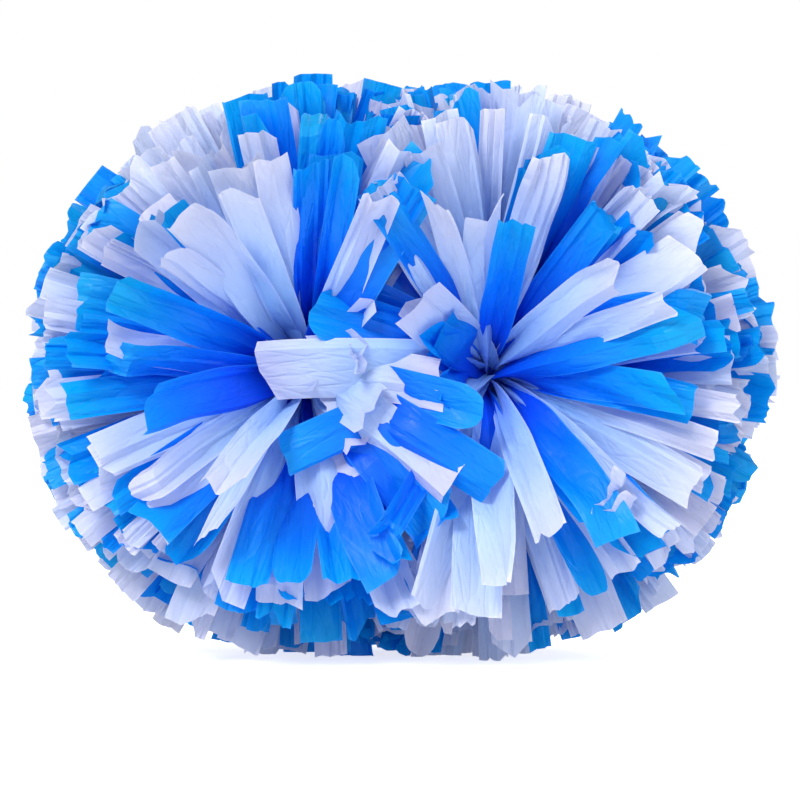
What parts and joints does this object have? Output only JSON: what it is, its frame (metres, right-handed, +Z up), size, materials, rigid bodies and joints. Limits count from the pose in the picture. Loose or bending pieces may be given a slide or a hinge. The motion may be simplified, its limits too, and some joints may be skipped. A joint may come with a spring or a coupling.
{
  "type": "cheer pom pom",
  "caption": "Round two-lobed cheer pom pom: blue and white plastic film streamers gathered on a short baton handle.",
  "frame": {"origin": "middle of the footprint, on the plane that the lowest streamer tips rest on", "axes": "+X along the baton towards the right lobe, -Y towards the viewer of the front, +Z up"},
  "size_m": [0.3954, 0.3044, 0.2994],
  "materials": {
    "blue_film": "thin glossy crumpled film",
    "white_film": "thin translucent crumpled film",
    "bunched_film": "pleated film",
    "wound_film": "wound film layers",
    "grip_plastic": "satin moulded",
    "collar_plastic": "moulded",
    "clear_tape": "glossy tape",
    "tie_nylon": "natural nylon"
  },
  "bodies": {
    "handle": {"handle_tube": "grip_plastic", "left_hand_stop": "collar_plastic", "left_header_roll": "wound_film", "left_tape_wrap": "clear_tape", "left_cable_tie": "tie_nylon", "left_end_plug": "collar_plastic", "right_hand_stop": "collar_plastic", "right_header_roll": "wound_film", "right_tape_wrap": "clear_tape", "right_cable_tie": "tie_nylon", "right_end_plug": "collar_plastic"},
    "left_streamers": {"left_root_bunch": "bunched_film", "left_white_sheet_1": "white_film", "left_white_sheet_2": "white_film", "left_white_sheet_3": "white_film", "left_white_sheet_4": "white_film", "left_white_sheet_5": "white_film", "left_white_sheet_6": "white_film", "left_blue_sheet_1": "blue_film", "left_blue_sheet_2": "blue_film", "left_blue_sheet_3": "blue_film", "left_blue_sheet_4": "blue_film", "left_blue_sheet_5": "blue_film", "left_blue_sheet_6": "blue_film"},
    "right_streamers": {"right_root_bunch": "bunched_film", "right_white_sheet_1": "white_film", "right_white_sheet_2": "white_film", "right_white_sheet_3": "white_film", "right_white_sheet_4": "white_film", "right_white_sheet_5": "white_film", "right_white_sheet_6": "white_film", "right_blue_sheet_1": "blue_film", "right_blue_sheet_2": "blue_film", "right_blue_sheet_3": "blue_film", "right_blue_sheet_4": "blue_film", "right_blue_sheet_5": "blue_film", "right_blue_sheet_6": "blue_film"}
  },
  "joints": [
    {"name": "right_sway", "type": "hinge", "parent": "handle", "child": "right_streamers", "pos_m": [0.045, 0, 0.1475], "axis": [0, 1, 0], "range_deg": [-12, 12], "stiffness_Nm_per_rad": 0.16},
    {"name": "left_sway", "type": "hinge", "parent": "handle", "child": "left_streamers", "pos_m": [-0.045, 0, 0.1475], "axis": [0, 1, 0], "range_deg": [-12, 12], "stiffness_Nm_per_rad": 0.16}
  ],
  "couplings": [
    {"joint": "left_sway", "follows": "right_sway", "ratio": 1}
  ]
}
